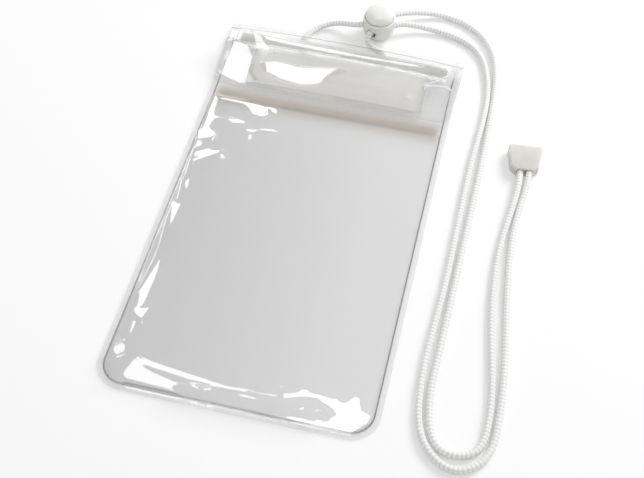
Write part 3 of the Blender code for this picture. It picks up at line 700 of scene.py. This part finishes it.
def pull_taut(x, y, surface, facets):
    """A surface with parts of it pulled taut: inside each outline it turns into a plane.

    The plane goes through the surface, raised by the facet's lift, at the outline's middle, and
    leans by two slopes. Surface and plane are mixed by a smooth step across the outline.
    """
    height = surface(x, y)
    for outline, lean_x, lean_y, lift, soft in facets:
        middle = np.mean(outline, axis=0) / 1000.0
        level = float(surface(np.array([[middle[0]]]), np.array([[middle[1]]]))[0, 0]) + lift
        share = smooth(0.5 + outline_distance(x, y, outline) / soft)
        plane = level + lean_x * (x - middle[0]) + lean_y * (y - middle[1])
        height = height + share * (plane - height)
    return height


def drift(x, y, size, height, seed):
    """Gentle unevenness: a sum of eight plane waves with fixed directions and lengths."""
    wave = np.random.default_rng(seed)
    total = np.zeros(x.shape)
    for _ in range(8):
        heading = wave.uniform(0.0, math.pi)
        length = size * wave.uniform(0.7, 1.6)
        phase = wave.uniform(0.0, 2.0 * math.pi)
        total += np.sin(2.0 * math.pi * (x * math.cos(heading) + y * math.sin(heading)) / length + phase)
    return height * total / 8.0


def pouch_ripples(x, y):
    """Creases and slack of the front film over the pocket, fading out at the welds."""
    total = drift(x, y, 0.060, 0.00035, 3)
    for line, height, near, far in POUCH_CREASES:
        total = total + crease(x, y, line, height, near, far)
    for middle, across, along, height, turn in POUCH_MOUNDS:
        total = total + mound(x, y, middle, across, along, height, turn)
    inside = smooth((np.minimum(edge_distance(x, y) - WELD_WIDTH, POCKET_TOP - y)) / 0.003)
    return total * inside


# Each crease: its line in millimetres, its height, and its width to the right and to the left
POUCH_CREASES = (
    (((-60.9, 23), (-60.2, 12), (-58.9, 6), (-60, 0), (-58.5, -6), (-57.5, -12)), 0.0006, 0.0012, 0.0016),
    (((-60.6, -13), (-60.2, -19), (-58.5, -31), (-57, -43), (-57.2, -53), (-58.5, -64), (-59.8, -72)),
     0.0006, 0.0012, 0.0014),
)

# Each mound: its middle in millimetres, its two widths, its height and its turn
POUCH_MOUNDS = (
    ((-38, 44), 0.016, 0.005, 0.0004, 0.1),
)

# Parts of the film that are pulled taut and mirror a panel: the outline in millimetres, the
# plane's slope across and along the case, its lift, and the width of its soft border
POUCH_FACETS = (
    (((-62.8, 38.4), (-57.4, 40.4), (-48.6, 33), (-51.7, 29), (-60.8, 30.2)), 0.45, -0.05, 0.0004, 0.0020),
    (((-61, 23.6), (-44.2, 22.1), (-41.8, 17.5), (-51.6, 15.9), (-60.4, 18.1)), 0.45, -0.05, 0.0002, 0.0030),
    (((-54.2, 46.5), (-44.7, 47.8), (-28.3, 41.6), (-7.7, 40.2), (-27, 36.6), (-32.2, 32.4), (-43.4, 37.8)),
     0.05, -0.30, 0.0002, 0.0030),
    (((-40.6, 58.2), (-37, 61.3), (-29.7, 58.5), (-25.8, 52.3), (-30.1, 48.3), (-37.2, 50.1)),
     0.03, -0.30, 0.0002, 0.0020),
    (((-56.9, -81.4), (-53.6, -80.2), (-48.9, -79.2), (-48.3, -82.5), (-49.6, -88.5), (-53.7, -85.6)),
     0.39, -0.16, 0.0002, 0.0020),
    (((-60.2, -101.5), (-55.9, -99), (-51.8, -101.6), (-51.7, -104.8), (-55.2, -106.6), (-59.3, -105.4)),
     0.08, 0.40, 0.0002, 0.0020),
    (((-51.8, -114.6), (-47.7, -107.5), (-38.7, -110), (-22.1, -112.5), (-26.9, -115.7), (-23.1, -117.2),
      (-48.7, -117)), 0.0, 0.55, 0.0, 0.0020),
    (((19.5, -106.7), (28.0, -104.6), (36.8, -103.8), (43.6, -104.2), (48.4, -105.4), (50.6, -102.4),
      (53.0, -101.4), (55.5, -102.5), (56.0, -106.6), (61.0, -108.0), (60.0, -112.0), (54.0, -117.6),
      (45.0, -118.4), (31.2, -117.6), (24.0, -117.2), (24.6, -115.2), (41.4, -113.6), (44.8, -111),
      (42.6, -109.3), (36.8, -107.4), (20.5, -110.6)), 0.0, 0.42, 0.0, 0.0010),
    (((20.5, -110.6), (28.7, -107.6), (36.8, -107.4), (42.6, -109.3), (44.8, -111), (41.4, -113.6),
      (30.5, -114.9), (3.4, -114.8), (-14.5, -115.9), (-26.2, -115), (-24.2, -113.5)),
     0.0, -0.05, 0.0, 0.0010),
)

FLAP_CREASES = (
    (((-46, 109.6), (-30, 108), (-7, 107), (15, 106.6), (37, 107.8), (60, 111)), 0.0012, 0.0014, 0.0014),
)

FLAP_FOLDS = (
    ((40, 111.2), (52, 112), (59, 111.2), (60, 109.5), (59.4, 105.7), (55.2, 100.8), (49.2, 95), (48.6, 93)),
    ((48.6, 93.0), (51.5, 94.6), (54.9, 95.8), (60, 96.4), (62.5, 95.6)),
)

FLAP_FACETS = (
    (((-66, 90), (-65, 101.2), (-61.9, 102.5), (-50.5, 98.9), (-46.3, 92.5), (-46, 83.1), (-41, 76.9),
      (-49.1, 73.3), (-62.9, 78.1), (-66, 83.6)), 0.06, 0.32, 0.0003, 0.0020),
    (((-53.7, 110.8), (-46.3, 108.8), (-38.2, 99.7), (-40.9, 93.5), (-49.2, 102.4)),
     0.05, 0.40, 0.0006, 0.0020),
    (((-41.1, 89.3), (-31.5, 91.4), (-20, 90), (4.2, 93.6), (-2.7, 87.2), (-7.6, 80.2), (-17.1, 78.4),
      (-28.6, 79.8), (-37.2, 83.1)), 0.02, 0.34, 0.0004, 0.0020),
)


def flap_ripples(x, y):
    """Creases of the flap and its gentle unevenness."""
    total = drift(x, y, 0.060, 0.0003, 9)
    for line, height, near, far in FLAP_CREASES:
        total = total + crease(x, y, line, height, near, far)
    for line in FLAP_FOLDS:
        total = total + crease(x, y, line, FOLD_RISE, FOLD_WIDTH, FOLD_WIDTH)
    total = total + mound(x, y, FOLD_SPOT, 0.0025, 0.0025, 0.0005)
    inside = smooth((TOP_EDGE - FLAP_WELD - y) / 0.004) * smooth((FLAP_SIDE - np.abs(x)) / 0.003)
    return np.maximum(total, -0.0001) * inside


def front_shape(x, y):
    """Underside of the front film: its bulges and creases, and the bead at its welds."""
    away = edge_distance(x, y) - WELD_WIDTH
    low = pull_taut(x, y, front_underside, POUCH_FACETS) + pouch_ripples(x, y)
    bead = weld_bead(away) * smooth((away + 0.0025) / 0.001)
    return np.maximum(low + bead, back_top(x, y) + 0.0001)


def flap_shape(x, y):
    """Underside of the flap with its creases and its slack."""
    return pull_taut(x, y, flap_underside, FLAP_FACETS) + flap_ripples(x, y)


def film_grid(bottom, top, corner, row_step, column_step, weld_rows=()):
    """Rows and columns of a film, closer together along its outline, its sides and its welds.

    A round lower corner draws a row's ends in by the radius less the arc's height there.
    """
    fine = np.array([0.0, 0.0005, 0.0011, 0.0018, 0.0024, 0.0028, 0.0031, 0.0034, 0.0039, 0.0046, 0.0055])
    half = POUCH_WIDTH / 2
    side = np.arange(fine[-1], 0.021, 0.5 * column_step)[1:]
    middle = np.linspace(side[-1], half, int((half - side[-1]) / column_step) + 1)[1:]
    right = half - np.concatenate([fine, side, middle])
    shares = np.concatenate([-right[:-1], right[::-1]]) / half
    low = bottom + fine
    rows = np.linspace(low[-1], top, int((top - low[-1]) / row_step) + 1)[1:]
    near_corner = rows[0] + np.linspace(0, 0.006, 9)[1:]
    near_welds = [w + np.array([-4, -2, -1, 0, 1, 2, 4]) * 1e-4 for w in weld_rows]
    rows = np.concatenate([low, rows, near_corner] + near_welds)
    rows = np.unique(np.round(rows[rows <= top + 1e-9], 7))
    reach = np.clip(rows - bottom, 0.0, corner)
    draw = corner - np.sqrt(np.maximum(corner ** 2 - (corner - reach) ** 2, 0.0))
    x = shares[None, :] * (half_width(rows) - draw)[:, None]
    y = np.repeat(rows[:, None], len(shares), axis=1)
    return x, y


def weld_bead(away):
    """The pressed edge of a weld: a fine groove beside a fine ridge, from the distance to it."""
    ridge = 0.00010 * np.exp(-((away - 0.0003) / 0.0003) ** 2)
    groove = 0.00008 * np.exp(-((away + 0.0003) / 0.0003) ** 2)
    return ridge - groove


def make_back_film(clear):
    """Back film: flat on the table and lifted near the top by the cord under it."""
    x, y = film_grid(BOTTOM_EDGE, TOP_EDGE, CORNER_RADIUS, 0.0016, 0.0020)
    low = back_underside(x, y)
    away = edge_distance(x, y) - WELD_WIDTH
    marks = film_marks(x, y, away, "upper")
    piece = slab("back_film", x, y, low, low + FILM, clear, "case", marks)
    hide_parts("back_panel")


def make_front_film(clear):
    """Front film: the pocket's pillow shape with its creases, and the step over the zip."""
    x, y = film_grid(BOTTOM_EDGE, MOUTH_EDGE, CORNER_RADIUS, 0.0008, 0.0012)
    away = edge_distance(x, y) - WELD_WIDTH
    low = front_shape(x, y)
    marks = film_marks(x, y, away, "under")
    piece = slab("front_film", x, y, low, low + FILM, clear, "case", marks)
    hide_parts("front_panel")


def make_flap_film(clear):
    """Closure flap: welded along the top edge, folded down over the zip and the two strips."""
    x, y = film_grid(FLAP_EDGE, TOP_EDGE, FLAP_CORNER, 0.00045, 0.0006, (TOP_EDGE - FLAP_WELD,))
    low = flap_shape(x, y)
    away = TOP_EDGE - FLAP_WELD - y
    marks = film_marks(x, y, away, "under")
    # Painted shade: the flap is tinted grey below the zip, more beside the strips and none over them
    over_strip = smooth((STRIP_LENGTH / 2 - np.abs(x - STRIP_X)) / STRIP_STEP) * smooth(
        (STRIP_LOW + STRIP_WIDTH - y) / 0.003)
    beside = smooth((np.abs(x - STRIP_X) - STRIP_LENGTH / 2 + STRIP_STEP) / STRIP_STEP)
    below_zip = smooth((FLAP_PAINTED_SHADE_TOP - y) / 0.006)
    grey = (FLAP_PAINTED_SHADE + FLAP_PAINTED_SHADE_BESIDE * beside) * (1.0 - over_strip) * below_zip
    none = np.zeros(x.shape)
    # Painted highlight: white haze along the flap's folds and at one spot
    fold = mound(x, y, FOLD_SPOT, 0.0012, 0.0009, 0.6)
    for line in FLAP_FOLDS:
        fold = np.maximum(fold, crease(x, y, line, FOLD_PAINTED_HIGHLIGHT, FOLD_HIGHLIGHT_REACH, FOLD_HIGHLIGHT_REACH))
    marks.update({"pocket": (grey, grey), "band": (none, none), "fold": (fold, none)})
    piece = slab("flap_film", x, y, low, low + FILM, clear, "case", marks)
    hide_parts("closure_flap")


def strip_grid(round_corner):
    """Rows and columns of a strip whose corners are rounded in plan."""
    rows = np.linspace(STRIP_LOW, STRIP_LOW + STRIP_WIDTH, 40)
    shares = np.linspace(-1.0, 1.0, 130)
    from_end = np.minimum(rows - rows[0], rows[-1] - rows)
    reach = np.clip(from_end, 0.0, round_corner)
    draw = round_corner - np.sqrt(np.maximum(round_corner ** 2 - (round_corner - reach) ** 2, 0.0))
    x = STRIP_X + shares[None, :] * (STRIP_LENGTH / 2 - draw)[:, None]
    return x, np.repeat(rows[:, None], len(shares), axis=1)


def make_strips(tape):
    """Hook strip and loop strip: thin tapes that follow the film they are welded to."""
    x, y = strip_grid(0.0020)
    loop_low = front_underside(x, y) + FILM + SEAT_GAP
    nap = drift(x, y, 0.004, 0.00006, 5)
    inside = STRIP_WIDTH / 2 - np.maximum(
        np.abs(y - STRIP_LOW - STRIP_WIDTH / 2),
        np.abs(x - STRIP_X) - (STRIP_LENGTH - STRIP_WIDTH) / 2)
    border = 1.0 - smooth(inside / 0.007)
    thick = STRIP_THICKNESS * (0.25 + 0.75 * smooth(inside / 0.0020))
    marks = {"border": (border, border)}
    loop = slab("loop_tape", x, y, loop_low, loop_low + thick + nap * (1.0 - border),
                tape, "case", marks)
    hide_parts("loop_strip")
    hook_high = np.maximum(flap_shape(x, y) - SEAT_GAP / 2,
                           loop_low + 2 * STRIP_THICKNESS + SEAT_GAP + 0.0001)
    hook = slab("hook_tape", x, y, hook_high - thick, hook_high,
                tape, "case", marks)
    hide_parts("hook_strip")


# Materials

def clear_pvc():
    """Clear soft PVC film, calendered and welded: see-through with sharp reflections, a thin
    grey line where a weld is pressed, a paler flange where two films are one, and a painted
    highlight of white haze along the flap's hard folds and at one spot. The grey of the pocket
    and of the flap is painted shade and the warm band is a painted shadow, all tints of the film."""
    material, tree, out = new_material("clear_pvc_film")
    place = node(tree, "ShaderNodeTexCoord").outputs["Object"]
    wave = node(tree, "ShaderNodeTexNoise", {"Vector": place, "Scale": 55.0, "Detail": 2.0})
    relief = node(tree, "ShaderNodeBump", {"Height": wave, "Strength": 0.03, "Distance": 0.002})
    weld = node(tree, "ShaderNodeAttribute", attribute_name="weld").outputs["Fac"]
    flange = node(tree, "ShaderNodeAttribute", attribute_name="flange").outputs["Fac"]
    fused = node(tree, "ShaderNodeAttribute", attribute_name="fused").outputs["Fac"]
    fleck = node(tree, "ShaderNodeTexNoise", {"Vector": place, "Scale": 900.0, "Detail": 1.0})
    pocket = node(tree, "ShaderNodeAttribute", attribute_name="pocket").outputs["Fac"]
    band = node(tree, "ShaderNodeAttribute", attribute_name="band").outputs["Fac"]
    # The pocket mark's painted shade tints the film grey
    grey = node(tree, "ShaderNodeMix", {
        0: pocket, 6: linear("#FEFEFE"), 7: linear("#F6F6F6")}, data_type="RGBA").outputs[2]
    # The band's painted shadow tints the film warm grey
    warm = node(tree, "ShaderNodeMix", {
        0: band, 6: grey, 7: linear("#E9E6E2")}, data_type="RGBA").outputs[2]
    tint = node(tree, "ShaderNodeMix", {
        0: weld, 6: warm, 7: linear("#A9AAAA")}, data_type="RGBA").outputs[2]
    clear = node(tree, "ShaderNodeBsdfTransparent", {"Color": tint})
    haze = node(tree, "ShaderNodeBsdfDiffuse", {"Color": linear("#F2F2F1")})
    cloud = node(tree, "ShaderNodeMath", {0: flange, 1: 0.10, 2: 0.004}, operation="MULTIPLY_ADD")
    # Painted highlight: the fold mark adds white haze to the film
    fold = node(tree, "ShaderNodeAttribute", attribute_name="fold").outputs["Fac"]
    white = node(tree, "ShaderNodeMath", {0: fold, 1: cloud}, operation="ADD")
    cloudy = node(tree, "ShaderNodeMath", {0: fleck, 1: 0.008, 2: white}, operation="MULTIPLY_ADD")
    through = node(tree, "ShaderNodeMixShader", {0: cloudy, 1: clear, 2: haze})
    mirror = node(tree, "ShaderNodeBsdfGlossy", {
        "Color": linear("#FFFFFF"), "Roughness": 0.04, "Normal": relief})
    facing = node(tree, "ShaderNodeLayerWeight", {"Blend": 0.5, "Normal": relief}).outputs["Facing"]
    grazing = node(tree, "ShaderNodeMath", {0: facing, 1: 5.0}, operation="POWER")
    share = node(tree, "ShaderNodeMath", {
        0: grazing, 1: 1.0 - FILM_MIRROR, 2: FILM_MIRROR}, operation="MULTIPLY_ADD")
    bare = node(tree, "ShaderNodeMath", {0: 1.0, 1: fused}, operation="SUBTRACT")
    mirrored = node(tree, "ShaderNodeMath", {0: share, 1: bare}, operation="MULTIPLY")
    both = node(tree, "ShaderNodeMixShader", {0: mirrored, 1: through, 2: mirror})
    tree.links.new(both.outputs[0], out.inputs["Surface"])
    return material


def knitted_polyester():
    """White polyester cord, knitted: bright soft stitches, with grey shade painted in their grooves."""
    material, tree, out = new_material("white_knitted_polyester")
    groove = node(tree, "ShaderNodeAttribute", attribute_name="groove").outputs["Fac"]
    place = node(tree, "ShaderNodeTexCoord").outputs["Object"]
    fibre = node(tree, "ShaderNodeTexNoise", {"Vector": place, "Scale": 2500.0, "Detail": 2.0})
    # Painted shade: the stitches' grooves are coloured grey by their depth
    painted_groove_shade = node(tree, "ShaderNodeMapRange", {0: groove, 1: 0.15, 2: 0.9, 3: 0.0, 4: 1.0})
    colour = node(tree, "ShaderNodeMix", {
        0: painted_groove_shade, 6: linear("#FCFCFB"), 7: linear("#DCDCDB")}, data_type="RGBA").outputs[2]
    relief = node(tree, "ShaderNodeBump", {"Height": fibre, "Strength": 0.3, "Distance": 0.0001})
    shader = node(tree, "ShaderNodeBsdfPrincipled", {
        "Base Color": colour, "Roughness": 0.75, "Normal": relief,
        "Sheen Weight": 0.25, "Sheen Roughness": 0.4})
    tree.links.new(shader.outputs[0], out.inputs["Surface"])
    return material


def milky_nylon():
    """Nylon hook-and-loop tape, woven and milky: matt, warm white, with a fine nap, greyer along
    its border, where it thins out, and so thin that light passes, two thirds at each side."""
    material, tree, out = new_material("milky_nylon_tape")
    place = node(tree, "ShaderNodeTexCoord").outputs["Object"]
    nap = node(tree, "ShaderNodeTexVoronoi", {"Vector": place, "Scale": 1400.0})
    shade = node(tree, "ShaderNodeTexNoise", {"Vector": place, "Scale": 60.0, "Detail": 3.0})
    woven = node(tree, "ShaderNodeMix", {
        0: shade, 6: linear("#FCFAF7"), 7: linear("#F6F3EF")}, data_type="RGBA").outputs[2]
    border = node(tree, "ShaderNodeAttribute", attribute_name="border").outputs["Fac"]
    colour = node(tree, "ShaderNodeMix", {
        0: border, 6: woven, 7: linear("#ECECEA")}, data_type="RGBA").outputs[2]
    relief = node(tree, "ShaderNodeBump", {
        "Height": nap.outputs["Distance"], "Strength": 0.25, "Distance": 0.0003})
    shader = node(tree, "ShaderNodeBsdfPrincipled", {
        "Base Color": colour, "Roughness": 0.65, "Normal": relief})
    through = node(tree, "ShaderNodeBsdfTransparent", {"Color": linear("#FFFFFF")})
    both = node(tree, "ShaderNodeMixShader", {0: 0.36, 1: through, 2: shader})
    tree.links.new(both.outputs[0], out.inputs["Surface"])
    return material


def extruded_zip():
    """Clear polyethylene zip, extruded: half see-through, a little milky, with long fine lines."""
    material, tree, out = new_material("extruded_zip_profile")
    place = node(tree, "ShaderNodeTexCoord").outputs["Object"]
    stretch = node(tree, "ShaderNodeMapping", {"Vector": place, "Scale": (20.0, 2500.0, 400.0)})
    lines = node(tree, "ShaderNodeTexNoise", {"Vector": stretch, "Scale": 1.0, "Detail": 2.0})
    colour = node(tree, "ShaderNodeMix", {
        0: lines, 6: linear("#F4F4F3"), 7: linear("#EAEBEA")}, data_type="RGBA").outputs[2]
    relief = node(tree, "ShaderNodeBump", {"Height": lines, "Strength": 0.2, "Distance": 0.0002})
    shader = node(tree, "ShaderNodeBsdfPrincipled", {
        "Base Color": colour, "Roughness": 0.3, "Normal": relief})
    through = node(tree, "ShaderNodeBsdfTransparent", {"Color": linear("#FBFBFA")})
    both = node(tree, "ShaderNodeMixShader", {0: 0.45, 1: through, 2: shader})
    tree.links.new(both.outputs[0], out.inputs["Surface"])
    return material


def moulded_plastic(name, pale, shaded, roughness, scatter, lines=0.0, turn=0.0):
    """Moulded polypropylene: satin, slightly translucent, mottled very faintly by its flow, and
    with fine lines 1 mm apart where its mould was cut, if lines is more than zero."""
    material, tree, out = new_material(name)
    place = node(tree, "ShaderNodeTexCoord").outputs["Object"]
    flow = node(tree, "ShaderNodeTexNoise", {"Vector": place, "Scale": 160.0, "Detail": 3.0})
    grain = node(tree, "ShaderNodeTexNoise", {"Vector": place, "Scale": 3500.0, "Detail": 1.0})
    turned = node(tree, "ShaderNodeMapping", {"Vector": place, "Rotation": (0.0, 0.0, -turn)})
    cut = node(tree, "ShaderNodeTexWave", {
        "Vector": turned, "Scale": 300.0, "Distortion": 1.5, "Detail": 1.0}, bands_direction="Y")
    shade = node(tree, "ShaderNodeMath", {
        0: cut.outputs["Fac"], 1: lines, 2: flow}, operation="MULTIPLY_ADD")
    colour = node(tree, "ShaderNodeMix", {
        0: shade, 6: linear(pale), 7: linear(shaded)}, data_type="RGBA").outputs[2]
    relief = node(tree, "ShaderNodeBump", {"Height": grain, "Strength": 0.12, "Distance": 0.00008})
    rough = node(tree, "ShaderNodeMapRange", {0: flow, 3: roughness - 0.05, 4: roughness + 0.06})
    shader = node(tree, "ShaderNodeBsdfPrincipled", {
        "Base Color": colour, "Roughness": rough, "Normal": relief,
        "Subsurface Weight": scatter, "Subsurface Radius": (1.0, 1.0, 0.85),
        "Subsurface Scale": 0.0030})
    tree.links.new(shader.outputs[0], out.inputs["Surface"])
    return material


def drawn_spring_steel():
    """Spring wire, drawn: bright metal, its roughness finely mottled."""
    material, tree, out = new_material("drawn_spring_steel")
    place = node(tree, "ShaderNodeTexCoord").outputs["Object"]
    lines = node(tree, "ShaderNodeTexNoise", {"Vector": place, "Scale": 4000.0})
    rough = node(tree, "ShaderNodeMapRange", {0: lines, 3: 0.22, 4: 0.38})
    shader = node(tree, "ShaderNodeBsdfPrincipled", {
        "Base Color": linear("#C9C8C4"), "Metallic": 1.0, "Roughness": rough})
    tree.links.new(shader.outputs[0], out.inputs["Surface"])
    return material


def dress_node(node_name, material):
    """Gives a CAD node that is kept as it is its own finish."""
    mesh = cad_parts[node_name].data
    if len(mesh.materials):
        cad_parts[node_name].material_slots[0].material = material
    else:
        mesh.materials.append(material)


# The scene

bpy.context.scene.view_settings.view_transform = "Standard"
# A ray to a lamp passes the flap, the front film and the back film twice, two surfaces each
bpy.context.scene.cycles.transparent_max_bounces = 24
place_camera()

cord, cord_path, cord_length = make_neck_cord()
lock_plastic = moulded_plastic("milky_polypropylene", "#F4F5F0", "#ECEDE6", 0.34, 0.8)
cup_plastic = moulded_plastic("greenish_polypropylene", "#F6F8EC", "#ECEEDF", 0.36, 0.8)
clip_plastic = moulded_plastic(
    "white_polypropylene", "#ECE9E5", "#DAD6D2", 0.42, 0.8, lines=0.5, turn=-0.30)
lock_cup = smoothed_copy(
    "lock_body", "lock_cup", cup_plastic, "case", reshape=full_cup)
lock_dome = smoothed_copy(
    "lock_button", "lock_dome", lock_plastic, "button", reshape=square_dome)
clip_lower = smoothed_copy("clip_base", "clip_lower_half", clip_plastic, "case")
clip_upper = smoothed_copy("clip_cover", "clip_upper_half", clip_plastic, "case")

film = clear_pvc()
make_back_film(film)
make_front_film(film)
make_flap_film(film)
make_strips(milky_nylon())
zip_plastic = extruded_zip()
dress_node("zip_profile_back", zip_plastic)
dress_node("zip_profile_front", zip_plastic)
dress_node("cord_strap", film)
dress_node("lock_spring", drawn_spring_steel())

light_studio()
lay_table()
